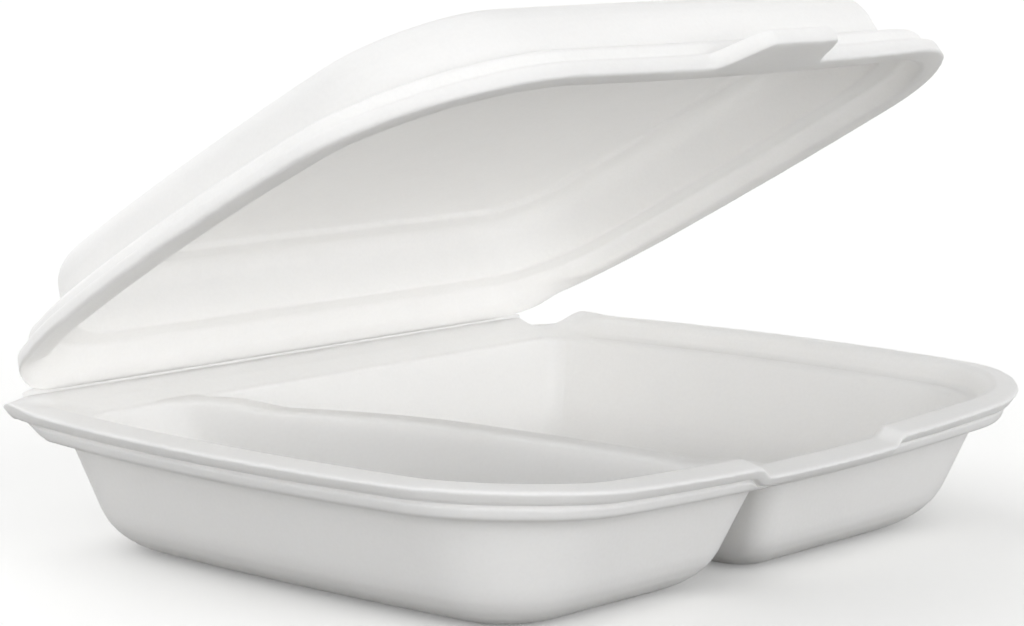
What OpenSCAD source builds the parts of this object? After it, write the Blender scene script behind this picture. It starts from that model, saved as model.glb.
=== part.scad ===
// Foam clamshell container: one formed sheet with a two-compartment base,
// a fold along the back and a lid with a front tab. Millimetres, +Z up.
// X runs along the fold, the front with the tab faces -Y.
// The origin is the plan centre of the base, on the table.

/* [Plan] */
// Overall width along the fold
plan_w = 235; // [229:1:245]
// Overall depth from fold to front edge
plan_l = 181; // [170:1:195]
// Outward bow of the two short sides
side_bow = 11.5; // [8:0.5:13]
// Outward bow of the front edge
front_bow = 4; // [1:0.5:6]
// Front corner radius at the rim
front_r = 33; // [29:1:40]
// Back corner radius at the rim
back_r = 12.5; // [10:0.5:16]

/* [Foam] */
// Thickness of the formed foam
foam_t = 2.6; // [2:0.1:3]
// Height of the flange's outer edge
lip_h = 3.8; // [3.4:0.1:4.4]
// Clearance between the closed flanges
flange_gap = 0.3; // [0.3:0.05:0.6]

/* [Base] */
// Height of the base rim above the table
base_h = 37.5; // [35:0.5:42]
// Width of the flat flange
flange_w = 6.5; // [5.75:0.25:7.5]
// Depth of the band under the flange
band_h = 6; // [5.5:0.25:7]
// Slope of the compartment walls from upright
base_draft = 17; // [12:0.5:19]
// Inside radius at the foot of the walls
foot_r = 12.5; // [9:0.5:13]
// Extra slope of the large compartment's short side
side_slope = 0.3; // [0:0.05:0.4]
// Radius of the small compartment's back corner
small_back_r = 22; // [18:1:26]
// Radius of the large compartment's back corner
large_back_r = 12; // [10:1:16]

/* [Divider] */
// Place of the divider's front half along X
divider_x = -20; // [-23:1:-15]
// Bend of the divider towards the small side at the back
divider_bend = 40; // [24:1:42]
// Lean of the divider towards the large side at the front
divider_lean = 9; // [0:0.5:10]
// Fall of the divider's top below the ledge
divider_drop = 2.2; // [0.5:0.1:3]
// Width of the divider's top
divider_w = 6; // [5:0.5:8]
// Corner radius of the compartments beside the divider
divider_r = 5; // [4:0.5:7]

/* [Rim line] */
// Fall of the rim line in the middle of the front
front_dip = 4; // [1:0.25:4.5]
// Depth of the finger recess in the front flange
recess_d = 2.4; // [1:0.1:2.6]
// Length of the finger recess
recess_w = 58; // [50:1:64]
// Length of the slope at each end of the recess
recess_ramp = 4; // [3.5:0.5:9]
// Fall of the rim line along the fold
fold_dip = 1.5; // [0.5:0.1:2]
// Further fall of the base flange at the ear left of the fold
left_ear_d = 0.5; // [0.4:0.1:1.8]
// Further fall of the base flange at the ear right of the fold
right_ear_d = 2.6; // [0.4:0.1:3]
// Length of the slope from the sides down to the ears
ear_ramp = 8; // [7:0.5:12]

/* [Fold] */
// Length of the fold
fold_w = 186; // [176:1:190]
// Angle of the open lid above the closed lid
lid_open = 29; // [5:1:120]

/* [Lid] */
// Height of the lid above the closed flanges
lid_h = 26; // [24:0.5:29]
// Slope of the lid's walls from upright
lid_draft = 8; // [6:0.5:12]
// Radius of the lid's shoulder
shoulder_r = 8; // [6.5:0.5:9]
// Height of the raised panel on the lid
panel_h = 1.8; // [1:0.1:2.2]
// Extra corner radius of the lid's flange over the base
lid_extra_r = 9; // [4:0.5:11]
// Narrowing of the lid towards the fold, on each side
lid_taper = 4; // [0:0.5:5]
// Radius of the lid's back corners
lid_back_r = 20; // [18:1:26]
// Arch of the lid's flange along the short sides
lid_arch = 1.2; // [0:0.1:2.5]
// Width of the tab where it leaves the flange
tab_w = 42; // [36:1:48]
// Width of the tab at its tip
tab_tip_w = 23; // [18:1:28]
// Reach of the tab past the flange
tab_l = 12; // [8:0.5:14]

/* [Hidden] */
foam_white = "#F4F3EF";

half_w = plan_w / 2 - side_bow;
half_l = plan_l / 2;
front_l = half_l - front_bow;
edge_r = 0.6;
fold_gap = flange_gap * 0.7;
fold_y = half_l + fold_gap;
fold_z = base_h - fold_dip + flange_gap / 2;

// point counts along a ring
n_corner = 9;
n_side = 9;
n_left = 6;
n_mid = 7;
n_right = 17;
n_lid = 12;
n_arc = 5;
n_div = 8;
n_foot = 4;

// inset of the ledge from the flange's edge, on each face of the sheet
ledge_in = flange_w + 4;
ledge_out = flange_w + 2;
ledge_z = base_h - band_h;

function smooth(a, b, x) =
  let (t = min(max((x - a) / (b - a), 0), 1)) t * t * (3 - 2 * t);
function flip(v) = [for (i = [len(v) - 1:-1:0]) v[i]];
function line_pts(p, q, n) = [for (i = [1:n]) p + (q - p) * i / (n + 1)];
function arc_pts(c, r, a, b, n) =
  [for (i = [0:n - 1]) let (t = a + (b - a) * i / (n - 1)) c + r * [cos(t), sin(t)]];

// One side of a rounded rectangle, from the back at x = xb round to the front at x = xf.
function half_ring(s, xb, xf, d, rf, rb, nb, in = 0) =
  let (
    xo = half_w - d - in,
    y1 = half_l - d,
    y0 = -front_l + d,
    back = arc_pts([xo - rb, y1 - rb], rb, 90, 0, n_corner),
    front = arc_pts([xo - rf, y0 + rf], rf, 0, -90, n_corner),
    pts = concat(
      [[s * xb, y1]], line_pts([s * xb, y1], [xo - rb, y1], nb - 1),
      back, line_pts([xo, y1 - rb], [xo, y0 + rf], n_side), front,
      line_pts([xo - rf, y0], [s * xf, y0], nb - 1), [[s * xf, y0]])
  )
  [for (p = pts) [s * p[0], p[1]]];

// The whole plan bows outwards a little, most at the edges.
function bow(p) =
  let (
    u = 1 - pow(p[0] / half_w, 2),
    v = 1 - pow(p[1] / half_l, 2),
    x = p[0] + sign(p[0]) * side_bow * pow(abs(p[0]) / half_w, 3) * max(v, 0),
    y = p[1] - front_bow * pow(max(-p[1], 0) / front_l, 3) * max(u, 0)
  )
  [x, y];

// Height of the line where base and lid meet, measured from the rim.
function rim_line(p) =
  -front_dip * max(1 - pow(p[0] / half_w, 2), 0) * pow(max(-p[1], 0) / front_l, 3)
  - fold_dip * smooth(half_l - 4 - ear_ramp, half_l - 4, p[1]);
function near_front(p) = smooth(-front_l + 26, -front_l + 12, p[1]);
function recess(p) =
  let (a = recess_w / 2, b = recess_w / 2 - recess_ramp)
  recess_d * smooth(a, b, abs(p[0])) * near_front(p);
function ear(p) =
  let (a = fold_w / 2, y = half_l - 4)
  (p[0] < 0 ? left_ear_d : right_ear_d) * smooth(a - 1, a + 5, abs(p[0]))
  * smooth(y - ear_ramp, y, p[1]);

// A ring is [inset, height, share of the flange's own shape, height along the fold].
// Along the fold the step of the rim fades into one slope.
function ring(d, z, share) = [d, z, share, z];
function soft(d, z, share, a, b, z0, z1) =
  [d, z, share, z0 + (z1 - z0) * pow(min(max((d - a) / (b - a), 0), 1), 1.3)];
function ring_z(p, g) = g[1] + (g[3] - g[1]) * smooth(half_l - 24, half_l - 13, p[1]);
function base_pt(p, g) =
  let (h = ring_z(p, g), z = h + rim_line(p) * h / base_h - (recess(p) + ear(p)) * g[2], q = bow(p))
  [q[0], q[1], z];

// Corner radii of a ring: s is the side, r the back radius of the form inside the flange.
function ring_rf(d, s) =
  max(front_r - 0.8 * min(d, flange_w) - (s < 0 ? 0.9 : 0.2) * max(d - flange_w, 0), 5);
function ring_rb(d, r) =
  max(back_r + (r - back_r) * min(max(d - 1, 0) / ledge_in, 1) - 0.3 * max(d - ledge_in, 0), 4);
function base_ring(s, xb, xf, d, nb) =
  half_ring(s, xb, xf, d, ring_rf(d, s), ring_rb(d, s < 0 ? small_back_r : large_back_r), nb,
    s < 0 ? 0 : side_slope * max(d - ledge_in - 1, 0));

function soft_top(d, z, share) = soft(d, z, share, 1.5, ledge_in, base_h, ledge_z - 0.05);
function soft_under(d, z, share) =
  soft(d, z, share, 1.5, ledge_out, base_h - lip_h, ledge_z - foam_t - 0.1);
base_top = [
  ring(0, base_h - edge_r, 1),
  ring(edge_r, base_h, 1),
  soft_top(flange_w - 0.7, base_h, 1),
  soft_top(flange_w + 0.5, base_h - 0.5, 1),
  soft_top(flange_w + 1.2, base_h - 1.7, 0.85),
  soft_top(flange_w + 2, ledge_z + 0.9, 0.12),
  soft_top(flange_w + 2.6, ledge_z + 0.15, 0),
  soft_top(flange_w + 3.3, ledge_z, 0)
];
base_under = [
  ring(0, base_h - lip_h + 0.5, 1),
  ring(0.5, base_h - lip_h, 1),
  soft_under(flange_w - 4.2, base_h - lip_h + 0.2, 1),
  soft_under(flange_w - 3.5, base_h - lip_h - 0.4, 0.9),
  soft_under(flange_w - 2.6, ledge_z - foam_t + 1, 0.1),
  soft_under(flange_w - 1.8, ledge_z - foam_t + 0.2, 0),
  soft_under(flange_w + 0.4, ledge_z - foam_t, 0)
];

// Compartment wall and foot: the inner face, then the same offset by the foam thickness.
wall_top = ledge_z - 1.8;
foot_z = foam_t + foot_r;
foot_d = ledge_in + 1.6 + (wall_top - foot_z + foot_r * sin(base_draft)) * tan(base_draft)
  + foot_r * cos(base_draft);
function foot_ring(r, i) =
  let (a = base_draft + (90 - base_draft) * i / n_foot)
  ring(foot_d - r * cos(a), foot_z - r * sin(a), 0);
function wall_d(z, off) =
  foot_d - (foot_r + off) * cos(base_draft)
  - (z - foot_z + (foot_r + off) * sin(base_draft)) * tan(base_draft);
pocket_top = concat(
  [ring(ledge_in, ledge_z - 0.05, 0), ring(ledge_in + 1.2, ledge_z - 0.6, 0),
   ring(wall_d(wall_top, 0), wall_top, 0)],
  [for (i = [0:n_foot]) foot_ring(foot_r, i)]);
under_z = wall_top - foam_t - 0.6;
pocket_under = concat(
  [ring(ledge_out, ledge_z - foam_t - 0.1, 0), ring(ledge_out + 0.8, ledge_z - foam_t - 0.9, 0),
   ring(wall_d(under_z, foam_t), under_z, 0)],
  [for (i = [0:n_foot]) foot_ring(foot_r + foam_t, i)]);

// Reach of a compartment's divider side from the divider's middle, and the divider's bend.
function div_off(d) = divider_w / 2 + 0.85 * (d - ledge_in);
function bend(y) = divider_lean * pow(max(10 - y, 0) / (front_l + 10), 1.3)
  - divider_bend * pow(max(y, 0) / half_l, 2);
function div_fall(p, g) =
  divider_drop * smooth(half_l - 20, half_l - 34, abs(p[1])) * smooth(foot_z, ledge_z - foam_t, g[1]);
gap_x = divider_w / 2 + divider_r;

function common_ring(g) =
  let (
    kb = divider_x + bend(half_l - g[0]),
    kf = divider_x + bend(g[0] - front_l),
    a = base_ring(-1, kb - gap_x, kf - gap_x, g[0], n_left),
    b = base_ring(1, kb + gap_x, kf + gap_x, g[0], n_right),
    na = len(a),
    pts = concat(a, line_pts(a[na - 1], b[len(b) - 1], n_mid), flip(b), line_pts(b[0], a[0], n_mid))
  )
  [for (p = pts) base_pt(p, g)];

// Divider side of a compartment, front to back.
function div_side(s, g) =
  let (
    x = divider_x + s * div_off(g[0]),
    c = x + s * divider_r,
    y1 = half_l - g[0] - divider_r,
    y0 = -front_l + g[0] + divider_r,
    f = arc_pts([c, y0], divider_r, -90, s < 0 ? 0 : -180, n_arc + 1),
    b = arc_pts([c, y1], divider_r, s < 0 ? 0 : 180, 90, n_arc + 1),
    pts = concat([for (i = [1:n_arc]) f[i]], line_pts([x, y0], [x, y1], n_div), [for (i = [0:n_arc - 1]) b[i]])
  )
  [for (p = pts) base_pt([p[0] + bend(p[1]), p[1]], g) - [0, 0, div_fall(p, g)]];
function outer_side(s, g, nb) =
  let (
    x = divider_x + s * (div_off(g[0]) + divider_r),
    pts = base_ring(s, x + bend(half_l - g[0]), x + bend(g[0] - front_l), g[0], nb)
  )
  [for (p = pts) base_pt(p, g)];
function left_ring(g) = concat(outer_side(-1, g, n_left), div_side(-1, g));
function right_ring(g) = concat(flip(outer_side(1, g, n_right)), flip(div_side(1, g)));

n_a = 2 * n_left + 2 * n_corner + n_side;
n_b = 2 * n_right + 2 * n_corner + n_side;
n_in = 2 * n_arc + n_div;
n_c = n_a + n_b + 2 * n_mid;

// One face of the base sheet: rings of the rim, then both compartments and the divider's top.
function face_points(rim, pocket, crest) =
  let (
    l0 = left_ring(pocket[0]),
    r0 = right_ring(pocket[0]),
    g = pocket[0],
    mid = [for (i = [0:n_in - 1])
      let (p = l0[n_a + i], q = r0[n_b + n_in - 1 - i]) [(p[0] + q[0]) / 2, p[1], (p[2] + q[2]) / 2 + crest]]
  )
  concat(
    [for (r = rim) each common_ring(r)],
    line_pts(l0[n_a - 1], r0[0], n_mid), line_pts(r0[n_b - 1], l0[0], n_mid), mid,
    [for (r = pocket) each left_ring(r)], [for (r = pocket) each right_ring(r)],
    [middle(left_ring(pocket[len(pocket) - 1])), middle(right_ring(pocket[len(pocket) - 1]))]);

function quads(a, b, n) =
  [for (i = [0:n - 1]) let (j = (i + 1) % n) each [[a[i], a[j], b[j]], [a[i], b[j], b[i]]]];
function span(o, n) = [for (i = [0:n - 1]) o + i];
function fan(a, c) = [for (i = [0:len(a) - 1]) [c, a[i], a[(i + 1) % len(a)]]];
function middle(v) = [for (p = v) 1] * v / len(v);

// Triangles of one face, seen from above, with its first point at index o.
function face_tris(o, nr, np) =
  let (
    of = o + nr * n_c,
    ob = of + n_mid,
    om = ob + n_mid,
    ol = om + n_in,
    nl = n_a + n_in,
    orr = ol + np * nl,
    nrr = n_b + n_in,
    oc = orr + np * nrr,
    ring0 = concat(span(ol, n_a), span(of, n_mid), span(orr, n_b), span(ob, n_mid)),
    front = concat([ol + n_a - 1], span(of, n_mid), [orr]),
    back = concat([orr + n_b - 1], span(ob, n_mid), [ol]),
    li = span(ol + n_a, n_in),
    ri = flip(span(orr + n_b, n_in)),
    m = span(om, n_in),
    e = n_in - 1
  )
  concat(
    [for (k = [0:nr - 2]) each quads(span(o + k * n_c, n_c), span(o + (k + 1) * n_c, n_c), n_c)],
    quads(span(o + (nr - 1) * n_c, n_c), ring0, n_c),
    [for (k = [0:np - 2]) each quads(span(ol + k * nl, nl), span(ol + (k + 1) * nl, nl), nl)],
    [for (k = [0:np - 2]) each quads(span(orr + k * nrr, nrr), span(orr + (k + 1) * nrr, nrr), nrr)],
    fan(span(ol + (np - 1) * nl, nl), oc), fan(span(orr + (np - 1) * nrr, nrr), oc + 1),
    [for (i = [0:e - 1]) each [[li[i], m[i], m[i + 1]], [li[i], m[i + 1], li[i + 1]],
      [m[i], ri[i], ri[i + 1]], [m[i], ri[i + 1], m[i + 1]]]],
    [for (i = [0:n_mid]) each [[front[i], front[i + 1], m[0]], [back[i], back[i + 1], m[e]]]],
    [[front[0], m[0], li[0]], [front[n_mid + 1], ri[0], m[0]],
     [back[n_mid + 1], li[e], m[e]], [back[0], m[e], ri[e]]]);

module base_tray() {
  top = face_points(base_top, pocket_top, 0.35);
  under = face_points(base_under, pocket_under, 0.3);
  nt = len(top);
  up = face_tris(0, len(base_top), len(pocket_top));
  down = face_tris(nt, len(base_under), len(pocket_under));
  rim = quads(span(nt, n_c), span(0, n_c), n_c);
  color(foam_white)
    polyhedron(concat(top, under), concat([for (f = up) flip(f)], down, [for (f = rim) flip(f)]), 10);
}

// Lid, closed over the base and then turned open about the fold.
lid_z = base_h + flange_gap;
lid_band = band_h - 0.5;
lid_ledge = flange_w + 3.6;
roof_z = lid_h - panel_h;
top_c = roof_z - shoulder_r;
top_d = lid_ledge + 1.8 + (top_c + shoulder_r * sin(lid_draft) - lid_band - 1.6) * tan(lid_draft)
  + shoulder_r * cos(lid_draft);
function lid_wall(z, off) =
  top_d - (shoulder_r - off) * cos(lid_draft)
  - (top_c + (shoulder_r - off) * sin(lid_draft) - z) * tan(lid_draft);
function shoulder(r, i) =
  let (a = lid_draft + (90 - lid_draft) * i / n_foot)
  ring(top_d - r * cos(a), top_c + r * sin(a), 0);

function soft_out(d, z, share) =
  soft(d, z, share, 1.5, flange_w + 0.6, lip_h, lid_band + foam_t);
function soft_in(d, z, share) = soft(d, z, share, 1.5, lid_ledge, 0, lid_band);
lid_outer = concat(
  [ring(0, lip_h - 0.5, 1), ring(0.5, lip_h, 1), soft_out(flange_w - 4.2, lip_h - 0.2, 0),
   soft_out(flange_w - 3.5, lip_h + 0.4, 0), soft_out(flange_w - 2.6, lid_band + foam_t - 1, 0),
   soft_out(flange_w - 1.8, lid_band + foam_t - 0.2, 0), ring(flange_w + 0.6, lid_band + foam_t, 0),
   ring(lid_wall(lid_band + foam_t + 1.4, 0), lid_band + foam_t + 1.4, 0)],
  [for (i = [0:n_foot]) shoulder(shoulder_r, i)],
  [ring(top_d + 3.5, roof_z + 0.2, 0), ring(top_d + 4.6, roof_z + panel_h - 0.3, 0),
   ring(top_d + 6.5, roof_z + panel_h, 0)]);
lid_inner = concat(
  [ring(0, edge_r, 1), ring(edge_r, 0, 1), soft_in(flange_w - 0.7, 0, 0),
   soft_in(flange_w + 0.5, 0.5, 0), soft_in(flange_w + 1.2, 1.7, 0),
   soft_in(flange_w + 2, lid_band - 0.9, 0), soft_in(flange_w + 2.6, lid_band - 0.15, 0),
   ring(lid_ledge, lid_band, 0), ring(lid_wall(lid_band + 1.4, foam_t), lid_band + 1.4, 0)],
  [for (i = [0:n_foot]) shoulder(shoulder_r - foam_t, i)],
  [ring(top_d + 4.6, roof_z - foam_t + 0.2, 0), ring(top_d + 5.7, roof_z - foam_t + panel_h - 0.3, 0),
   ring(top_d + 7.6, roof_z - foam_t + panel_h, 0)]);

// The tab grows out of the flange's edge in its own plane.
function tab(p, share) =
  tab_l * smooth(tab_w / 2, tab_tip_w / 2, abs(p[0])) * share * (p[1] < 0 ? 1 : 0);
function lid_pt(p, g) =
  let (
    q = bow(p),
    h = ring_z(p, g),
    w = 1 - h / lid_h,
    y = q[1] - tab(p, p[1] < -front_l + 2 ? g[2] : 0),
    arch = lid_arch * pow(abs(p[0]) / half_w, 3) * max(1 - pow(p[1] / half_l, 2), 0),
    z = lid_z + h + (rim_line(p) + arch) * max(w, 0)
  )
  [q[0] * (1 - lid_taper / half_w * smooth(half_l - 45, half_l - 3, p[1])), y, z];
function lid_ring(g) =
  let (
    rf = ring_rf(g[0], -1) + lid_extra_r,
    rb = ring_rb(g[0], lid_back_r) + lid_extra_r * max(1 - g[0] / lid_ledge, 0),
    a = half_ring(-1, -2, -2, g[0], rf, rb, n_lid),
    b = half_ring(1, 2, 2, g[0], rf, rb, n_lid)
  )
  [for (p = concat(a, flip(b))) lid_pt(p, g)];

n_l = 2 * (2 * n_lid + 2 * n_corner + n_side);

module lid() {
  roof = lid_ring(lid_outer[len(lid_outer) - 1]);
  ceiling = lid_ring(lid_inner[len(lid_inner) - 1]);
  outer = concat([for (g = lid_outer) each lid_ring(g)], [middle(roof)]);
  inner = concat([for (g = lid_inner) each lid_ring(g)], [middle(ceiling)]);
  ko = len(lid_outer);
  ki = len(lid_inner);
  o = len(outer);
  up = concat(
    [for (k = [0:ko - 2]) each quads(span(k * n_l, n_l), span((k + 1) * n_l, n_l), n_l)],
    fan(span((ko - 1) * n_l, n_l), ko * n_l));
  down = concat(
    [for (k = [0:ki - 2]) each quads(span(o + k * n_l, n_l), span(o + (k + 1) * n_l, n_l), n_l)],
    fan(span(o + (ki - 1) * n_l, n_l), o + ki * n_l));
  edge = quads(span(o, n_l), span(0, n_l), n_l);
  color(foam_white)
    translate([0, fold_y, fold_z])
      rotate([-lid_open, 0, 0])
        translate([0, -fold_y, -fold_z])
          polyhedron(
            concat(outer, inner),
            concat([for (f = up) flip(f)], down, [for (f = edge) flip(f)]), 10);
}

base_tray();
lid();
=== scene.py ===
"""Foam clamshell container: a divided base, a fold along the back and a lid with a front tab.

Each face of the formed sheet is a family of rings. A ring is the rim's outline, set in by some
distance and put at some height, so flange, band, walls and floors all follow the same plan.
Sizes are in millimetres inside the shape functions and in metres on the meshes.
"""

import math
from types import SimpleNamespace

import bmesh
import bpy
import numpy as np
from bpy.props import FloatProperty, FloatVectorProperty, PointerProperty
from mathutils import Matrix


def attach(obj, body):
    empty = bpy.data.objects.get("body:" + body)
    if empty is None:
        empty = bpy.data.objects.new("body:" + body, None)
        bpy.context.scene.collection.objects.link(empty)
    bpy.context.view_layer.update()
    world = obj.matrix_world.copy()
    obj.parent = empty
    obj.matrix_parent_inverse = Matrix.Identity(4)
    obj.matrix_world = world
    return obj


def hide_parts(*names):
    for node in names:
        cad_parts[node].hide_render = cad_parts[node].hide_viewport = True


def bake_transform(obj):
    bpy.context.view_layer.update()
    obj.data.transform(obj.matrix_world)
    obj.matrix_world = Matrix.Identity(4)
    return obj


bl_info = {
    "name": "Foam clamshell container",
    "version": (1, 0, 0),
    "blender": (4, 5, 0),
    "location": "View3D > Sidebar > Clamshell",
    "description": "Builds a divided foam container with a folding lid, and a plain studio round it",
    "category": "Add Mesh",
}

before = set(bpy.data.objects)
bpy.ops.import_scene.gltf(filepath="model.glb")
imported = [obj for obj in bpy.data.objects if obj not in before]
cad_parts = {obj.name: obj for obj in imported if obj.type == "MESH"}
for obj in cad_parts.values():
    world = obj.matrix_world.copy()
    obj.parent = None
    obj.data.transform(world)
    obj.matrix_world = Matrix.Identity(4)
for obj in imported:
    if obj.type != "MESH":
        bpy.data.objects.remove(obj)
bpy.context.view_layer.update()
MM = 0.001

# The photograph's frame and the camera found from the container's outlines in it.
FRAME_W, FRAME_H = 1024, 626
FOCAL_PX = 3065.3
CENTRE_PX = (545.4, 386.8)
CAMERA_TURN, CAMERA_RISE, CAMERA_ROLL = (math.radians(a) for a in (-49.49, 9.764, 0.579))
CAMERA_REACH = 0.77475  # metres from the middle of the rim

# Soft light: name, energy, spread, tilt from overhead and heading, angles in degrees.
SOFTBOXES = (("Side softbox", 0.5, 50, 70, -80),
             ("Front softbox", 1.15, 50, 74, -14),
             ("Back softbox", 0.85, 60, 40, 180))
HORIZON_LEVEL, SKY_LEVEL = 1.75, 0.43  # the dome is brighter low down, as a ring of white screens is
FLOOR_BOUNCE = 0.2  # share of the floor's colour that lights the container
FLOOR_LIFT = 0.16  # glow that keeps the floor pale to the camera
FLOOR_HALF = 8.0  # metres

# The trimmed edge: uneven by this share of its distance from the middle, fading out over this inset in mm.
EDGE_WEAR, EDGE_FADE = 0.0035, 1.5
BASE_EDGE_SEED, LID_EDGE_SEED = 3, 5

# Sockets of a mix node, set to colour or left as numbers.
COLOUR_A, COLOUR_B, COLOUR_OUT = 6, 7, 2
NUMBER_A, NUMBER_B = 2, 3


def length(name, description, millimetres):
    return FloatProperty(name=name, description=description, default=millimetres * MM, min=0.0,
                         unit="LENGTH", subtype="DISTANCE", precision=4)


def angle(name, description, degrees):
    return FloatProperty(name=name, description=description, default=math.radians(degrees),
                         unit="ROTATION", subtype="ANGLE")


def linear(hex_colour):
    """An sRGB hex colour as linear red, green, blue."""
    channels = [int(hex_colour[i:i + 2], 16) / 255 for i in (1, 3, 5)]
    return tuple(c / 12.92 if c <= 0.04045 else ((c + 0.055) / 1.055) ** 2.4 for c in channels)


class ClamshellPlan(bpy.types.PropertyGroup):
    """Outline of the rim and the sheet it is formed from."""
    plan_w: length("Width", "Overall width along the fold", 235)
    plan_l: length("Depth", "Overall depth from fold to front edge", 181)
    side_bow: length("Side bow", "Outward bow of the two short sides", 11.5)
    front_bow: length("Front bow", "Outward bow of the front edge", 4)
    front_r: length("Front corner", "Front corner radius at the rim", 33)
    back_r: length("Back corner", "Back corner radius at the rim", 12.5)
    foam_t: length("Foam", "Thickness of the formed foam", 2.6)
    lip_h: length("Lip", "Height of the flange's outer edge", 3.8)
    flange_w: length("Flange", "Width of the flat flange", 6.5)
    band_h: length("Band", "Depth of the band under the flange", 6)
    flange_gap: length("Flange gap", "Clearance between the closed flanges", 0.3)
    front_dip: length("Front dip", "Fall of the rim line in the middle of the front", 4)
    fold_dip: length("Fold dip", "Fall of the rim line along the fold", 1.5)
    fold_w: length("Fold", "Length of the fold", 186)


class ClamshellBase(bpy.types.PropertyGroup):
    """Compartments, divider and flange details of the base."""
    base_h: length("Height", "Height of the base rim above the table", 37.5)
    base_draft: angle("Wall slope", "Slope of the compartment walls from upright", 17)
    foot_r: length("Foot radius", "Inside radius at the foot of the walls", 12.5)
    side_slope: FloatProperty(name="Side slope", default=0.3, min=0.0, max=0.4,
                              description="Extra slope of the large compartment's short side")
    small_back_r: length("Small back corner", "Radius of the small compartment's back corner", 22)
    large_back_r: length("Large back corner", "Radius of the large compartment's back corner", 6)
    divider_x: FloatProperty(name="Divider place", description="Place of the divider's front half along X",
                             default=-0.020, unit="LENGTH", subtype="DISTANCE", precision=4)
    divider_bend: length("Divider bend", "Bend of the divider towards the small side at the back", 40)
    divider_lean: length("Divider lean", "Lean of the divider towards the large side at the front", 9)
    divider_drop: length("Divider drop", "Fall of the divider's top below the ledge", 2.2)
    divider_w: length("Divider width", "Width of the divider's top", 6)
    divider_r: length("Divider corner", "Corner radius of the compartments beside the divider", 5)
    recess_d: length("Recess depth", "Depth of the finger recess in the front flange", 2.4)
    recess_w: length("Recess length", "Length of the finger recess", 58)
    recess_ramp: length("Recess slope", "Length of the slope at each end of the recess", 4)
    left_ear_d: length("Left ear fall", "Further fall of the flange at the ear left of the fold", 0.5)
    right_ear_d: length("Right ear fall", "Further fall of the flange at the ear right of the fold", 2.6)
    ear_ramp: length("Ear slope", "Length of the slope from the sides down to the ears", 8)


class ClamshellLid(bpy.types.PropertyGroup):
    """Dome, panel and tab of the lid."""
    lid_open: angle("Open angle", "Angle of the open lid above the closed lid", 29)
    lid_h: length("Height", "Height of the lid above the closed flanges", 26)
    lid_draft: angle("Wall slope", "Slope of the lid's walls from upright", 8)
    shoulder_r: length("Shoulder", "Radius of the lid's shoulder", 8)
    panel_h: length("Panel", "Height of the raised panel on the lid", 1.8)
    lid_extra_r: length("Rounder corners", "Extra corner radius of the lid's flange over the base", 9)
    lid_taper: length("Taper", "Narrowing of the lid towards the fold, on each side", 4)
    lid_back_r: length("Back corner", "Radius of the lid's back corners", 20)
    lid_arch: length("Side arch", "Arch of the lid's flange along the short sides", 1.2)
    tab_w: length("Tab root", "Width of the tab where it leaves the flange", 42)
    tab_tip_w: length("Tab tip", "Width of the tab at its tip", 23)
    tab_l: length("Tab reach", "Reach of the tab past the flange", 12)


class ClamshellFinish(bpy.types.PropertyGroup):
    """Look of the foam and of the studio."""
    foam_colour: FloatVectorProperty(name="Foam", description="Colour of the foam's skin", subtype="COLOR",
                                     size=3, min=0.0, max=1.0, default=linear("#FBFAF8"))
    floor_colour: FloatVectorProperty(name="Floor", description="Colour of the studio floor", subtype="COLOR",
                                      size=3, min=0.0, max=1.0, default=linear("#FBFBFA"))
    cell: length("Cell", "Size of a foam cell as it shows on the skin", 0.9)


def shape_values(scene):
    """Every size of the object in millimetres, and angles in radians, under its own name."""
    v = SimpleNamespace()
    for group in (scene.clamshell_plan, scene.clamshell_base, scene.clamshell_lid):
        for key in type(group).__annotations__:
            scale = 1.0 if key in ("base_draft", "lid_draft", "lid_open", "side_slope") else 1000.0
            setattr(v, key, getattr(group, key) * scale)
    v.half_w = v.plan_w / 2 - v.side_bow
    v.half_l = v.plan_l / 2
    v.front_l = v.half_l - v.front_bow
    v.edge_r = 0.6
    v.fold_y = v.half_l + 0.7 * v.flange_gap
    v.fold_z = v.base_h - v.fold_dip + v.flange_gap / 2
    v.ledge_in = v.flange_w + 4
    v.ledge_out = v.flange_w + 2
    v.ledge_z = v.base_h - v.band_h
    return v


def smooth(a, b, x):
    t = np.clip((x - a) / (b - a), 0, 1)
    return t * t * (3 - 2 * t)


def between(p, q, n):
    """n points evenly spaced between p and q, without the ends."""
    t = np.arange(1, n + 1)[:, None] / (n + 1)
    return np.asarray(p) + (np.asarray(q) - np.asarray(p)) * t


def arc(centre, r, a, b, n):
    t = np.radians(np.linspace(a, b, n))
    return np.asarray(centre) + r * np.stack([np.cos(t), np.sin(t)], 1)


def eased(rows, reach):
    """A ring table with each corner cut round over at most this reach, and its flats held flat."""
    rows = np.asarray(rows, float)
    for cut in (reach, reach / 2):
        step = rows[1:] - rows[:-1]
        share = np.minimum(cut / np.maximum(np.hypot(step[:, 0], step[:, 1]), 1e-6), 0.3)[:, None]
        pairs = np.stack([rows[:-1] + step * share, rows[1:] - step * share], 1)
        rows = np.vstack([rows[:1], pairs.reshape(-1, rows.shape[1]), rows[-1:]])
    held = [rows[0]]
    for a, b in zip(rows, rows[1:]):
        run = math.hypot(*(b - a)[:2])
        if run > 3 * reach:
            held += [a + (b - a) * reach / run, b - (b - a) * reach / run]
        held.append(b)
    return np.array(held)


# Points along a ring: corners, sides, and the straights either side of the divider.
N_CORNER, N_SIDE, N_LEFT, N_RIGHT, N_MID, N_LID = 22, 34, 24, 52, 12, 46
N_ARC, N_DIV, N_FOOT = 9, 40, 7


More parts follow.
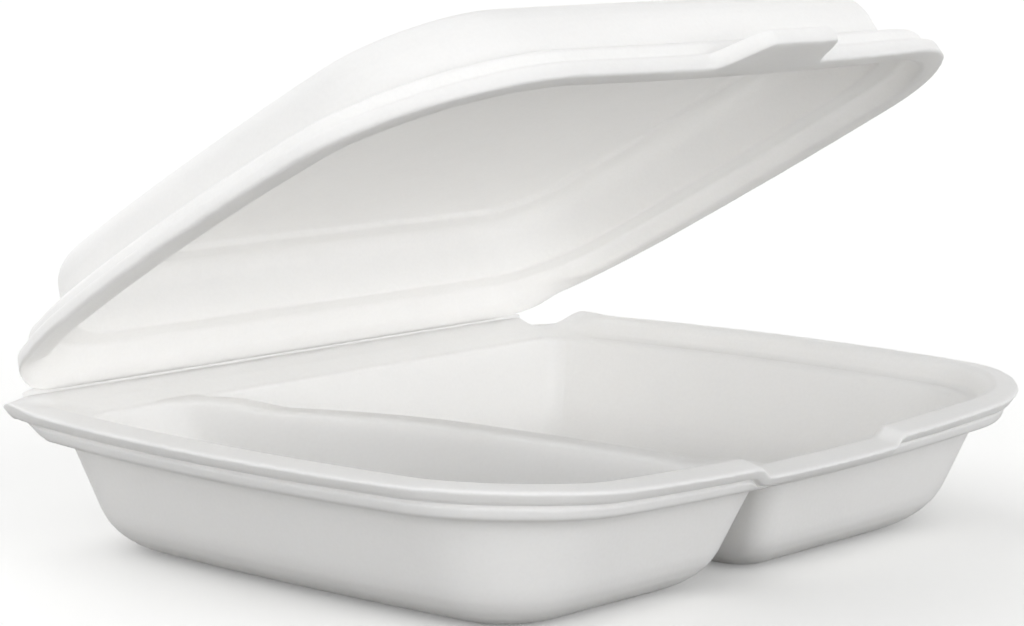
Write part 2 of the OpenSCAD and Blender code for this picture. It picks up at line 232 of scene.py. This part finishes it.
def half_ring(v, side, x_back, x_front, d, rf, rb, n, inset=0.0):
    """One side of the rim's outline set in by d, from the back round to the front."""
    xo, y1, y0 = v.half_w - d - inset, v.half_l - d, -v.front_l + d
    xb, xf = side * x_back, side * x_front
    pts = np.vstack([
        [[xb, y1]], between([xb, y1], [xo - rb, y1], n - 1),
        arc([xo - rb, y1 - rb], rb, 90, 0, N_CORNER),
        between([xo, y1 - rb], [xo, y0 + rf], N_SIDE),
        arc([xo - rf, y0 + rf], rf, 0, -90, N_CORNER),
        between([xo - rf, y0], [xf, y0], n - 1), [[xf, y0]]])
    return pts * [side, 1]


def bowed(v, p):
    """The plan bows outwards a little, most at its edges."""
    u = np.maximum(1 - (p[:, 0] / v.half_w) ** 2, 0)
    w = np.maximum(1 - (p[:, 1] / v.half_l) ** 2, 0)
    x = p[:, 0] + np.sign(p[:, 0]) * v.side_bow * (np.abs(p[:, 0]) / v.half_w) ** 3 * w
    y = p[:, 1] - v.front_bow * (np.maximum(-p[:, 1], 0) / v.front_l) ** 3 * u
    return x, y


def rim_line(v, p):
    """Height of the line where base and lid meet, measured from the rim."""
    front = np.maximum(1 - (p[:, 0] / v.half_w) ** 2, 0) * (np.maximum(-p[:, 1], 0) / v.front_l) ** 3
    return -v.front_dip * front - v.fold_dip * smooth(v.half_l - 4 - v.ear_ramp, v.half_l - 4, p[:, 1])


def ring_rf(v, d, side):
    fall = 0.9 if side < 0 else 0.2
    return max(v.front_r - 0.8 * min(d, v.flange_w) - fall * max(d - v.flange_w, 0), 5)


def ring_rb(v, d, inner_r):
    """Back corner radius: the rim's own, going over to that of the form inside it."""
    deep = min(max(d - 1, 0) / v.ledge_in, 1)
    return max(v.back_r + (inner_r - v.back_r) * deep - 0.3 * max(d - v.ledge_in, 0), 4)


def base_half(v, side, x_back, x_front, d, n):
    inner_r = v.small_back_r if side < 0 else v.large_back_r
    inset = 0 if side < 0 else v.side_slope * max(d - v.ledge_in - 1, 0)
    return half_ring(v, side, x_back, x_front, d, ring_rf(v, d, side), ring_rb(v, d, inner_r), n, inset)


def plain(d, z, share=0.0):
    """A ring as inset, height, share of the flange's own shape and height along the fold."""
    return (d, z, share, z)


def faded(first, last):
    """Rings whose step fades into one slope along the fold, between two (inset, height) points."""
    def ring(d, z, share=0.0):
        t = min(max((d - first[0]) / (last[0] - first[0]), 0), 1) ** 1.3
        return (d, z, share, first[1] + (last[1] - first[1]) * t)
    return ring


def ring_height(v, p, ring):
    return ring[1] + (ring[3] - ring[1]) * smooth(v.half_l - 24, v.half_l - 13, p[:, 1])


def base_points(v, p, ring):
    """Plan points of a base ring put at their height, with the finger recess and the ears."""
    x, y = bowed(v, p)
    ax = np.abs(p[:, 0])
    recess = v.recess_d * smooth(v.recess_w / 2, v.recess_w / 2 - v.recess_ramp, ax)
    recess = recess * smooth(-v.front_l + 26, -v.front_l + 12, p[:, 1])
    ear = np.where(p[:, 0] < 0, v.left_ear_d, v.right_ear_d) * smooth(v.fold_w / 2 - 1, v.fold_w / 2 + 5, ax)
    ear = ear * smooth(v.half_l - 4 - v.ear_ramp, v.half_l - 4, p[:, 1])
    z = ring_height(v, p, ring)
    return np.stack([x, y, z + rim_line(v, p) * z / v.base_h - (recess + ear) * ring[2]], 1)


def divider_bend(v, y):
    lean = v.divider_lean * (np.maximum(10 - y, 0) / (v.front_l + 10)) ** 1.3
    return lean - v.divider_bend * (np.maximum(y, 0) / v.half_l) ** 2


def divider_reach(v, d):
    """Reach of a compartment's divider side from the divider's middle."""
    return v.divider_w / 2 + 0.85 * (d - v.ledge_in)


def divider_side(v, side, ring):
    """Divider side of a compartment, front to back."""
    d, z = ring[:2]
    r = v.divider_r
    x = v.divider_x + side * divider_reach(v, d)
    c = x + side * r
    y0, y1 = -v.front_l + d + r, v.half_l - d - r
    p = np.vstack([
        arc([c, y0], r, -90, 0 if side < 0 else -180, N_ARC + 1)[1:],
        between([x, y0], [x, y1], N_DIV),
        arc([c, y1], r, 0 if side < 0 else 180, 90, N_ARC + 1)[:-1]])
    fall = v.divider_drop * smooth(v.half_l - 20, v.half_l - 34, np.abs(p[:, 1]))
    fall = fall * smooth(v.foam_t + v.foot_r, v.ledge_z - v.foam_t, z)
    p[:, 0] += divider_bend(v, p[:, 1])
    out = base_points(v, p, ring)
    out[:, 2] -= fall
    return out


def outer_side(v, side, ring, n):
    d = ring[0]
    x = v.divider_x + side * (divider_reach(v, d) + v.divider_r)
    p = base_half(v, side, x + divider_bend(v, v.half_l - d), x + divider_bend(v, d - v.front_l), d, n)
    return base_points(v, p, ring)


def ragged(v, p, d, seed):
    """Plan points drawn in a little near the cut edge, which the trimming tool leaves uneven."""
    uneven = EDGE_WEAR * np.random.default_rng(seed).random(len(p)) ** 2 * max(1 - d / EDGE_FADE, 0)
    return p * (1 - uneven * (p[:, 1] < v.half_l - 20))[:, None]


def rim_ring(v, ring):
    """A ring of flange and band, whole round the base."""
    d = ring[0]
    gap = v.divider_w / 2 + v.divider_r
    back = v.divider_x + divider_bend(v, v.half_l - d)
    front = v.divider_x + divider_bend(v, d - v.front_l)
    a = base_half(v, -1, back - gap, front - gap, d, N_LEFT)
    b = base_half(v, 1, back + gap, front + gap, d, N_RIGHT)
    p = np.vstack([a, between(a[-1], b[-1], N_MID), b[::-1], between(b[0], a[0], N_MID)])
    return base_points(v, ragged(v, p, d, BASE_EDGE_SEED), ring)


class SheetMesh:
    """Points and faces of a sheet as it is put together."""

    def __init__(self):
        self.points, self.faces = [], []

    def add(self, pts):
        first = len(self.points)
        self.points.extend(map(tuple, pts))
        return list(range(first, len(self.points)))

    def strip(self, a, b, closed=True):
        n = len(a)
        for i in range(n if closed else n - 1):
            j = (i + 1) % n
            self.faces.append((a[i], a[j], b[j], b[i]))

    def cap(self, ring):
        """Fills a flat ring with smaller rings round its middle."""
        pts = np.array([self.points[i] for i in ring])
        middle = pts.mean(0)
        for t in (0.75, 0.45, 0.18):
            inner = self.add(middle + (pts - middle) * t)
            self.strip(ring, inner)
            ring = inner
        hub = self.add([middle])[0]
        for i, a in enumerate(ring):
            self.faces.append((a, ring[(i + 1) % len(ring)], hub))

    def to_object(self, name, material):
        mesh = bpy.data.meshes.new(name)
        mesh.from_pydata((np.array(self.points) * MM).tolist(), [], self.faces)
        build = bmesh.new()
        build.from_mesh(mesh)
        bmesh.ops.recalc_face_normals(build, faces=build.faces)
        for face in build.faces:
            face.smooth = True
        open_edges = [e for e in build.edges if len(e.link_faces) != 2]
        build.to_mesh(mesh)
        build.free()
        if open_edges:
            raise RuntimeError(f"{name} is not a closed sheet: {len(open_edges)} open edges")
        mesh.materials.append(material)
        obj = bpy.data.objects.new(name, mesh)
        bpy.context.scene.collection.objects.link(obj)
        return obj


def foot_rings(v, top, offset):
    """Wall foot: an arc from the drafted wall to the floor, offset by the foam for the underside."""
    r = v.foot_r + offset
    foot_z = v.foam_t + v.foot_r
    s, c, t = math.sin(v.base_draft), math.cos(v.base_draft), math.tan(v.base_draft)
    foot_d = v.ledge_in + 1.6 + (v.ledge_z - 1.8 - foot_z + v.foot_r * s) * t + v.foot_r * c
    wall = plain(foot_d - r * c - (top - foot_z + r * s) * t, top)
    angles = np.linspace(v.base_draft, math.pi / 2, N_FOOT)
    return [wall] + [plain(foot_d - r * math.cos(a), foot_z - r * math.sin(a)) for a in angles]


def base_sheet(v):
    """The whole base as one closed sheet: flange, band, compartments and divider."""
    f, h, lz, t = v.flange_w, v.base_h, v.ledge_z, v.foam_t
    upper = faded((1.5, h), (v.ledge_in, lz - 0.05))
    lower = faded((1.5, h - v.lip_h), (v.ledge_out, lz - t - 0.1))
    # the flange droops a little to its edge, but not along the fold, where the sheet is only creased
    droop = 0.7
    top = [(0, h - v.edge_r - droop, 1, h - 0.1), (v.edge_r, h - droop, 1, h), upper(f - 0.7, h, 1),
           upper(f + 0.5, h - 0.5, 1),
           upper(f + 1.2, h - 1.7, 0.85), upper(f + 2, lz + 0.9, 0.12), upper(f + 2.6, lz + 0.15),
           upper(f + 3.3, lz)]
    # the lip's face leans in, and a groove runs under the lip and under the band
    low = h - v.lip_h - 0.3
    under = [plain(1.7, low + 0.4, 1), plain(2.1, low, 1), lower(f - 3.6, low, 1), lower(f - 2.8, low - 0.3, 1),
             lower(f - 2.8, low - 0.8, 0.9), lower(f - 3.2, low - 1.3, 0.75), lower(f - 2.6, lz - t + 0.9, 0.1),
             lower(f - 1.8, lz - t + 0.2), lower(f + 0.6, lz - t + 0.2)]
    pocket_top = eased([plain(v.ledge_in, lz - 0.05), plain(v.ledge_in + 1.2, lz - 0.6)]
                       + foot_rings(v, lz - 1.8, 0), 0.5)
    pocket_under = eased([plain(v.ledge_out, lz - t + 0.1), plain(v.ledge_out + 0.9, lz - t - 0.6)]
                         + foot_rings(v, lz - 1.8 - t - 0.6, t), 0.5)
    sheet = SheetMesh()
    rims = [sheet.add(rim_ring(v, r)) for r in eased(under[::-1] + top, 0.3)]
    for a, b in zip(rims, rims[1:]):
        sheet.strip(a, b)
    for rim, pocket, crown in ((rims[-1], pocket_top, 0.35), (rims[0], pocket_under, 0.3)):
        left_out = [outer_side(v, -1, r, N_LEFT) for r in pocket]
        left_in = [divider_side(v, -1, r) for r in pocket]
        right_out = [outer_side(v, 1, r, N_RIGHT)[::-1] for r in pocket]
        right_in = [divider_side(v, 1, r)[::-1] for r in pocket]
        left = [sheet.add(np.vstack(pair)) for pair in zip(left_out, left_in)]
        right = [sheet.add(np.vstack(pair)) for pair in zip(right_out, right_in)]
        for rings in (left, right):
            for a, b in zip(rings, rings[1:]):
                sheet.strip(a, b)
            sheet.cap(rings[-1])
        na, nb = len(left_out[0]), len(right_out[0])
        front = sheet.add(between(left_out[0][-1], right_out[0][0], N_MID))
        back = sheet.add(between(right_out[0][-1], left_out[0][0], N_MID))
        sheet.strip(rim, left[0][:na] + front + right[0][:nb] + back)
        rows = [[left[0][na - 1]] + front + [right[0][0]]]
        bulge = (4 * np.arange(1, N_MID + 1) * (N_MID + 1 - np.arange(1, N_MID + 1)) / (N_MID + 1) ** 2)
        for i, (p, q) in enumerate(zip(left_in[0], right_in[0][::-1])):
            across = between(p, q, N_MID)
            across[:, 2] += crown * bulge
            rows.append([left[0][na + i]] + sheet.add(across) + [right[0][len(right[0]) - 1 - i]])
        rows.append([left[0][0]] + back[::-1] + [right[0][nb - 1]])
        for a, b in zip(rows, rows[1:]):
            sheet.strip(a, b, closed=False)
    return sheet


def lid_points(v, p, ring):
    """Plan points of a lid ring, closed over the base and then turned open about the fold."""
    x, y = bowed(v, p)
    x = x * (1 - v.lid_taper / v.half_w * smooth(v.half_l - 45, v.half_l - 3, p[:, 1]))
    tab = v.tab_l * smooth(v.tab_w / 2, v.tab_tip_w / 2, np.abs(p[:, 0])) * ring[2] * (p[:, 1] < 0)
    side = (np.abs(p[:, 0]) / v.half_w) ** 3 * np.maximum(1 - (p[:, 1] / v.half_l) ** 2, 0)
    z = ring_height(v, p, ring)
    settle = np.maximum(1 - z / v.lid_h, 0)
    height = v.base_h + v.flange_gap + z + (rim_line(v, p) + v.lid_arch * side) * settle
    u, h = y - tab - v.fold_y, height - v.fold_z
    c, s = math.cos(v.lid_open), math.sin(v.lid_open)
    return np.stack([x, v.fold_y + u * c + h * s, v.fold_z - u * s + h * c], 1)


def lid_ring(v, ring, ledge):
    d = ring[0]
    rf = ring_rf(v, d, -1) + v.lid_extra_r
    rb = ring_rb(v, d, v.lid_back_r) + v.lid_extra_r * max(1 - d / ledge, 0)
    a = half_ring(v, -1, -1, -1, d, rf, rb, N_LID)
    b = half_ring(v, 1, 1, 1, d, rf, rb, N_LID)
    return lid_points(v, ragged(v, np.vstack([a, b[::-1]]), d, LID_EDGE_SEED), ring)


def lid_sheet(v):
    """The whole lid as one closed sheet: flange with tab, band, walls, shoulder and raised panel."""
    f, t, lip, r = v.flange_w, v.foam_t, v.lip_h, v.shoulder_r
    band, ledge, roof = v.band_h - 0.5, v.flange_w + 3.6, v.lid_h - v.panel_h
    s, c, tan = math.sin(v.lid_draft), math.cos(v.lid_draft), math.tan(v.lid_draft)
    top_c = roof - r
    top_d = ledge + 1.8 + (top_c + r * s - band - 1.6) * tan + r * c

    def wall(z, off):
        return plain(top_d - (r - off) * c - (top_c + (r - off) * s - z) * tan, z)

    def shoulder(q):
        return [plain(top_d - q * math.cos(a), top_c + q * math.sin(a))
                for a in np.linspace(v.lid_draft, math.pi / 2, N_FOOT)]

    inside = 0.07  # the round shoulder stays within the solid's faceted one
    over = faded((1.5, lip), (f + 0.6, band + t))
    within = faded((1.5, 0), (ledge, band))
    outer = [plain(0.7, lip - 0.4, 1), plain(1.1, lip, 1), over(f - 4.0, lip - 0.1), over(f - 3.2, lip + 0.4),
             over(f - 2.6, band + t - 1), over(f - 1.8, band + t - 0.2), plain(f + 0.6, band + t),
             wall(band + t + 1.4, inside)] + shoulder(r - inside)
    outer += [plain(top_d + 3.5, roof + 0.2), plain(top_d + 4.6, roof + v.panel_h - 0.3),
              plain(top_d + 6.5, roof + v.panel_h)]
    inner = [(0, v.edge_r, 1, 0.1), plain(v.edge_r, 0, 1), within(f - 0.7, 0), within(f + 0.5, 0.5),
             within(f + 1.2, 1.7), within(f + 2, band - 0.9), within(f + 2.6, band - 0.15), plain(ledge, band),
             wall(band + 1.4, t)] + shoulder(r - t)
    inner += [plain(top_d + 4.6, roof - t + 0.2), plain(top_d + 5.7, roof - t + v.panel_h - 0.3),
              plain(top_d + 7.6, roof - t + v.panel_h)]
    sheet = SheetMesh()
    rings = [sheet.add(lid_ring(v, g, ledge)) for g in eased(inner[::-1] + outer, 0.3)]
    for a, b in zip(rings, rings[1:]):
        sheet.strip(a, b)
    sheet.cap(rings[0])
    sheet.cap(rings[-1])
    return sheet


def put(tree, kind, settings=None, links=None):
    """Adds a node; settings go on its properties or sockets, links feed its sockets."""
    node = tree.nodes.new(kind)
    for key, value in (settings or {}).items():
        if isinstance(key, str) and hasattr(node, key):
            setattr(node, key, value)
        else:
            node.inputs[key].default_value = value
    for key, source in (links or {}).items():
        tree.links.new(source, node.inputs[key])
    return node


def polystyrene_foam(finish):
    """Expanded polystyrene sheet, vacuum formed.

    The skin is closed and dull with a soft sheen. Cells show through it as a faint pebble, the
    heat leaves slow patches in tone and gloss, and thin foam lets a little light in.
    """
    name = "Polystyrene foam, formed skin"
    if name in bpy.data.materials:
        return bpy.data.materials[name]
    mat = bpy.data.materials.new(name)
    mat.use_nodes = True
    tree = mat.node_tree
    tree.nodes.clear()
    colour = tuple(finish.foam_colour)
    shade = tuple(c * 0.955 for c in colour)
    place = put(tree, "ShaderNodeTexCoord").outputs["Object"]
    # foam cells are 0.1 to 0.3 mm; drawn at the finish's cell size so that they show
    cells = put(tree, "ShaderNodeTexNoise", {"Scale": 1 / finish.cell, "Detail": 0.0}, {"Vector": place})
    # slow patches of skin, about 14 mm across
    patches = put(tree, "ShaderNodeTexNoise", {"Scale": 1 / 0.014, "Detail": 3.0, "Roughness": 0.55},
                  {"Vector": place})
    # gentle waves of the formed sheet, about 35 mm across
    waves = put(tree, "ShaderNodeTexNoise", {"Scale": 1 / 0.035, "Detail": 1.0}, {"Vector": place})
    tone = put(tree, "ShaderNodeMapRange", {"From Min": 0.35, "From Max": 0.7, "To Min": 0.0, "To Max": 0.35},
               {"Value": patches.outputs["Fac"]})
    speck = put(tree, "ShaderNodeMapRange", {"From Min": 0.3, "From Max": 0.7, "To Min": 0.0, "To Max": 0.3},
                {"Value": cells.outputs["Fac"]})
    both = put(tree, "ShaderNodeMath", {"operation": "ADD"}, {0: tone.outputs[0], 1: speck.outputs[0]})
    skin = put(tree, "ShaderNodeMix", {"data_type": "RGBA"}, {"Factor": both.outputs[0]})
    skin.inputs[COLOUR_A].default_value = colour + (1.0,)
    skin.inputs[COLOUR_B].default_value = shade + (1.0,)
    gloss = put(tree, "ShaderNodeMapRange", {"From Min": 0.3, "From Max": 0.7, "To Min": 0.48, "To Max": 0.62},
                {"Value": patches.outputs["Fac"]})
    wave_bump = put(tree, "ShaderNodeBump", {"Strength": 0.25, "Distance": 0.0006},
                    {"Height": waves.outputs["Fac"]})
    cell_bump = put(tree, "ShaderNodeBump", {"Strength": 0.12, "Distance": 0.00012},
                    {"Height": cells.outputs["Fac"], "Normal": wave_bump.outputs["Normal"]})
    foam = put(tree, "ShaderNodeBsdfPrincipled",
               {"IOR": 1.46, "Specular IOR Level": 0.4, "Subsurface Weight": 0.5, "Subsurface Scale": 0.016},
               {"Base Color": skin.outputs[COLOUR_OUT], "Roughness": gloss.outputs[0],
                "Normal": cell_bump.outputs["Normal"]})
    foam.inputs["Subsurface Radius"].default_value = (1.0, 0.96, 0.9)
    put(tree, "ShaderNodeOutputMaterial", links={"Surface": foam.outputs["BSDF"]})
    return mat


def fold_tree(material):
    """Geometry nodes for the creased strip: a flat bead carried along the fold."""
    tree = bpy.data.node_groups.new("Fold crease", "GeometryNodeTree")
    face = tree.interface
    for label in ("Length", "Half height", "Half thickness", "Lean"):
        face.new_socket(label, in_out="INPUT", socket_type="NodeSocketFloat")
    face.new_socket("Place", in_out="INPUT", socket_type="NodeSocketVector")
    face.new_socket("Geometry", in_out="OUTPUT", socket_type="NodeSocketGeometry")
    size = put(tree, "NodeGroupInput").outputs
    half = put(tree, "ShaderNodeMath", {"operation": "MULTIPLY", 1: 0.5}, {0: size["Length"]})
    left = put(tree, "ShaderNodeMath", {"operation": "MULTIPLY", 1: -0.5}, {0: size["Length"]})
    start = put(tree, "ShaderNodeCombineXYZ", links={"X": left.outputs[0]})
    end = put(tree, "ShaderNodeCombineXYZ", links={"X": half.outputs[0]})
    line = put(tree, "GeometryNodeCurvePrimitiveLine", links={"Start": start.outputs[0], "End": end.outputs[0]})
    run = put(tree, "GeometryNodeResampleCurve", {"Count": 94}, {"Curve": line.outputs[0]})
    # thins towards both ends of the fold
    along = put(tree, "GeometryNodeSplineParameter")
    rise = put(tree, "ShaderNodeMapRange",
               {"interpolation_type": "SMOOTHSTEP", "From Min": 0.0, "From Max": 0.02,
                "To Min": 0.35, "To Max": 1.0},
               {"Value": along.outputs["Factor"]})
    sink = put(tree, "ShaderNodeMapRange",
               {"interpolation_type": "SMOOTHSTEP", "From Min": 0.98, "From Max": 1.0,
                "To Min": 1.0, "To Max": 0.35},
               {"Value": along.outputs["Factor"]})
    taper = put(tree, "ShaderNodeMath", {"operation": "MULTIPLY"}, {0: rise.outputs[0], 1: sink.outputs[0]})
    run = put(tree, "GeometryNodeSetCurveRadius", links={"Curve": run.outputs[0], "Radius": taper.outputs[0]})
    ring = put(tree, "GeometryNodeCurvePrimitiveCircle", {"Resolution": 28, "Radius": 1.0})
    oval = put(tree, "ShaderNodeCombineXYZ", {"Z": 1.0},
               {"X": size["Half thickness"], "Y": size["Half height"]})
    profile = put(tree, "GeometryNodeTransform", links={"Geometry": ring.outputs[0], "Scale": oval.outputs[0]})
    bead = put(tree, "GeometryNodeCurveToMesh", {"Fill Caps": True},
               {"Curve": run.outputs[0], "Profile Curve": profile.outputs[0]})
    if "Scale" in bead.inputs:
        tree.links.new(taper.outputs[0], bead.inputs["Scale"])
    turn = put(tree, "ShaderNodeCombineXYZ", links={"X": size["Lean"]})
    spot = put(tree, "GeometryNodeTransform",
               links={"Geometry": bead.outputs[0], "Translation": size["Place"], "Rotation": turn.outputs[0]})
    soft = put(tree, "GeometryNodeSetShadeSmooth", links={0: spot.outputs[0]})
    real = put(tree, "GeometryNodeRealizeInstances", links={0: soft.outputs[0]})
    skin = put(tree, "GeometryNodeSetMaterial", links={"Geometry": real.outputs[0]})
    skin.inputs["Material"].default_value = material
    put(tree, "NodeGroupOutput", links={0: skin.outputs[0]})
    return tree


def grown(name, tree, values):
    """The plain mesh that a geometry node tree makes with these named inputs."""
    holder = bpy.data.objects.new(name, bpy.data.meshes.new(name + " holder"))
    bpy.context.scene.collection.objects.link(holder)
    modifier = holder.modifiers.new(name, "NODES")
    modifier.node_group = tree
    for item in tree.interface.items_tree:
        if item.in_out == "INPUT" and item.name in values:
            modifier[item.identifier] = values[item.name]
    bpy.context.view_layer.update()
    graph = bpy.context.evaluated_depsgraph_get()
    mesh = bpy.data.meshes.new_from_object(holder.evaluated_get(graph), depsgraph=graph)
    holder.modifiers.remove(modifier)
    holder.data = mesh
    if not mesh.polygons:
        raise RuntimeError(f"{name} came out empty")
    return holder


class BaseTrayOperator(bpy.types.Operator):
    """Builds the divided base of the container"""
    bl_idname = "clamshell.base_tray"
    bl_label = "Base tray"

    def execute(self, context):
        scene = context.scene
        tray = base_sheet(shape_values(scene)).to_object("foam_base", polystyrene_foam(scene.clamshell_finish))
        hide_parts("base_tray")
        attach(tray, "base")
        return {"FINISHED"}


class LidOperator(bpy.types.Operator):
    """Builds the domed lid with its tab"""
    bl_idname = "clamshell.lid"
    bl_label = "Lid"

    def execute(self, context):
        scene = context.scene
        lid = lid_sheet(shape_values(scene)).to_object("foam_lid", polystyrene_foam(scene.clamshell_finish))
        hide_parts("lid")
        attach(lid, "lid")
        return {"FINISHED"}


class FoldOperator(bpy.types.Operator):
    """Builds the creased strip of foam that joins base and lid"""
    bl_idname = "clamshell.fold"
    bl_label = "Fold"

    def execute(self, context):
        scene = context.scene
        v = shape_values(scene)
        strip = grown("foam_fold", fold_tree(polystyrene_foam(scene.clamshell_finish)), {
            "Length": (v.fold_w + 2) * MM, "Half height": 1.5 * MM, "Half thickness": 0.2 * MM,
            "Lean": -v.lid_open / 2, "Place": (0.0, v.fold_y * MM, v.fold_z * MM)})
        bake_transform(strip)
        return {"FINISHED"}


def lay_floor(scene):
    """A pale floor. It looks white, and sends back only a little light under the container."""
    mesh = bpy.data.meshes.new("studio_floor")
    r = FLOOR_HALF
    mesh.from_pydata([(-r, -r, 0), (r, -r, 0), (r, r, 0), (-r, r, 0)], [], [(0, 1, 2, 3)])
    floor = bpy.data.objects.new("studio_floor", mesh)
    scene.collection.objects.link(floor)
    paint = bpy.data.materials.new("Studio paint, matt white")
    paint.use_nodes = True
    tree = paint.node_tree
    tree.nodes.clear()
    rays = put(tree, "ShaderNodeLightPath").outputs
    seen = put(tree, "ShaderNodeMath", {"operation": "MAXIMUM"},
               {0: rays["Is Camera Ray"], 1: rays["Is Glossy Ray"]})
    seen = put(tree, "ShaderNodeMath", {"operation": "MAXIMUM"},
               {0: seen.outputs[0], 1: rays["Is Transmission Ray"]})
    tone = put(tree, "ShaderNodeMix", {"data_type": "RGBA"}, {"Factor": seen.outputs[0]})
    pale = tuple(scene.clamshell_finish.floor_colour)
    tone.inputs[COLOUR_A].default_value = tuple(c * FLOOR_BOUNCE for c in pale) + (1.0,)
    tone.inputs[COLOUR_B].default_value = pale + (1.0,)
    matt = put(tree, "ShaderNodeBsdfDiffuse", links={"Color": tone.outputs[COLOUR_OUT]})
    lift = put(tree, "ShaderNodeMath", {"operation": "MULTIPLY", 1: FLOOR_LIFT}, {0: rays["Is Camera Ray"]})
    glow = put(tree, "ShaderNodeEmission", links={"Strength": lift.outputs[0]})
    lit = put(tree, "ShaderNodeAddShader", links={0: matt.outputs[0], 1: glow.outputs[0]})
    put(tree, "ShaderNodeOutputMaterial", links={"Surface": lit.outputs[0]})
    mesh.materials.append(paint)


def set_light(scene):
    """A soft white dome, plain white to the camera, and the softboxes."""
    world = bpy.data.worlds.new("Studio")
    world.use_nodes = True
    tree = world.node_tree
    tree.nodes.clear()
    rays = put(tree, "ShaderNodeLightPath").outputs
    seen = put(tree, "ShaderNodeMath", {"operation": "MAXIMUM"},
               {0: rays["Is Camera Ray"], 1: rays["Is Transmission Ray"]})
    aim = put(tree, "ShaderNodeTexCoord").outputs["Generated"]
    heading = put(tree, "ShaderNodeSeparateXYZ", links={0: aim})
    dome = put(tree, "ShaderNodeMapRange",
               {"From Min": 0.2, "From Max": 0.4, "To Min": HORIZON_LEVEL, "To Max": SKY_LEVEL},
               {"Value": heading.outputs["Z"]})
    level = put(tree, "ShaderNodeMix", {NUMBER_B: 1.0}, {"Factor": seen.outputs[0], NUMBER_A: dome.outputs[0]})
    sky = put(tree, "ShaderNodeBackground", links={"Strength": level.outputs[0]})
    sky.inputs["Color"].default_value = (1.0, 1.0, 1.0, 1.0)
    put(tree, "ShaderNodeOutputWorld", links={"Surface": sky.outputs[0]})
    scene.world = world
    for name, energy, spread, tilt, turn in SOFTBOXES:
        lamp = bpy.data.lights.new(name, "SUN")
        lamp.energy = energy
        lamp.angle = math.radians(spread)
        lamp_object = bpy.data.objects.new(name, lamp)
        lamp_object.rotation_euler = (math.radians(tilt), 0, math.radians(turn))
        scene.collection.objects.link(lamp_object)


def set_camera(scene):
    """The photograph's view, looking at the middle of the rim."""
    az, el = CAMERA_TURN, CAMERA_RISE
    target = np.array([0, 0, scene.clamshell_base.base_h])
    out = np.array([math.sin(az) * math.cos(el), -math.cos(az) * math.cos(el), math.sin(el)])
    right = np.array([math.cos(az), math.sin(az), 0])
    up = np.cross(out, right)
    c, s = math.cos(CAMERA_ROLL), math.sin(CAMERA_ROLL)
    right, up = right * c + up * s, up * c - right * s
    lens = bpy.data.cameras.new("Photograph's view")
    lens.sensor_width = 36
    lens.lens = FOCAL_PX * lens.sensor_width / FRAME_W
    lens.shift_x = (FRAME_W / 2 - CENTRE_PX[0]) / FRAME_W
    lens.shift_y = (CENTRE_PX[1] - FRAME_H / 2) / FRAME_W
    lens.clip_start = 0.01
    camera = bpy.data.objects.new("Photograph's view", lens)
    turn = np.eye(4)
    turn[:3, 0], turn[:3, 1], turn[:3, 2], turn[:3, 3] = right, up, out, target + out * CAMERA_REACH
    camera.matrix_world = Matrix(turn.tolist())
    scene.collection.objects.link(camera)
    scene.camera = camera


class StudioOperator(bpy.types.Operator):
    """Sets the pale floor, the soft light and the camera"""
    bl_idname = "clamshell.studio"
    bl_label = "Studio"

    def execute(self, context):
        scene = context.scene
        scene.view_settings.view_transform = "Standard"
        lay_floor(scene)
        set_light(scene)
        set_camera(scene)
        return {"FINISHED"}


class ClamshellPanel(bpy.types.Panel):
    """Sizes and steps of the foam container"""
    bl_idname = "VIEW3D_PT_clamshell"
    bl_label = "Clamshell"
    bl_space_type = "VIEW_3D"
    bl_region_type = "UI"
    bl_category = "Clamshell"

    def draw(self, context):
        scene = context.scene
        for title, group in (("Plan", scene.clamshell_plan), ("Base", scene.clamshell_base),
                             ("Lid", scene.clamshell_lid), ("Finish", scene.clamshell_finish)):
            box = self.layout.box()
            box.label(text=title)
            for key in type(group).__annotations__:
                box.prop(group, key)
        for step in STEPS:
            self.layout.operator(step.bl_idname)


STEPS = (BaseTrayOperator, LidOperator, FoldOperator, StudioOperator)
GROUPS = {"clamshell_plan": ClamshellPlan, "clamshell_base": ClamshellBase,
          "clamshell_lid": ClamshellLid, "clamshell_finish": ClamshellFinish}


def register():
    for cls in (*GROUPS.values(), *STEPS, ClamshellPanel):
        bpy.utils.register_class(cls)
    for name, group in GROUPS.items():
        setattr(bpy.types.Scene, name, PointerProperty(type=group))


def unregister():
    for name in GROUPS:
        delattr(bpy.types.Scene, name)
    for cls in reversed((*GROUPS.values(), *STEPS, ClamshellPanel)):
        bpy.utils.unregister_class(cls)


def main():
    register()
    bpy.ops.clamshell.studio()
    bpy.ops.clamshell.base_tray()
    bpy.ops.clamshell.lid()
    bpy.ops.clamshell.fold()


if __name__ == "__main__":
    main()
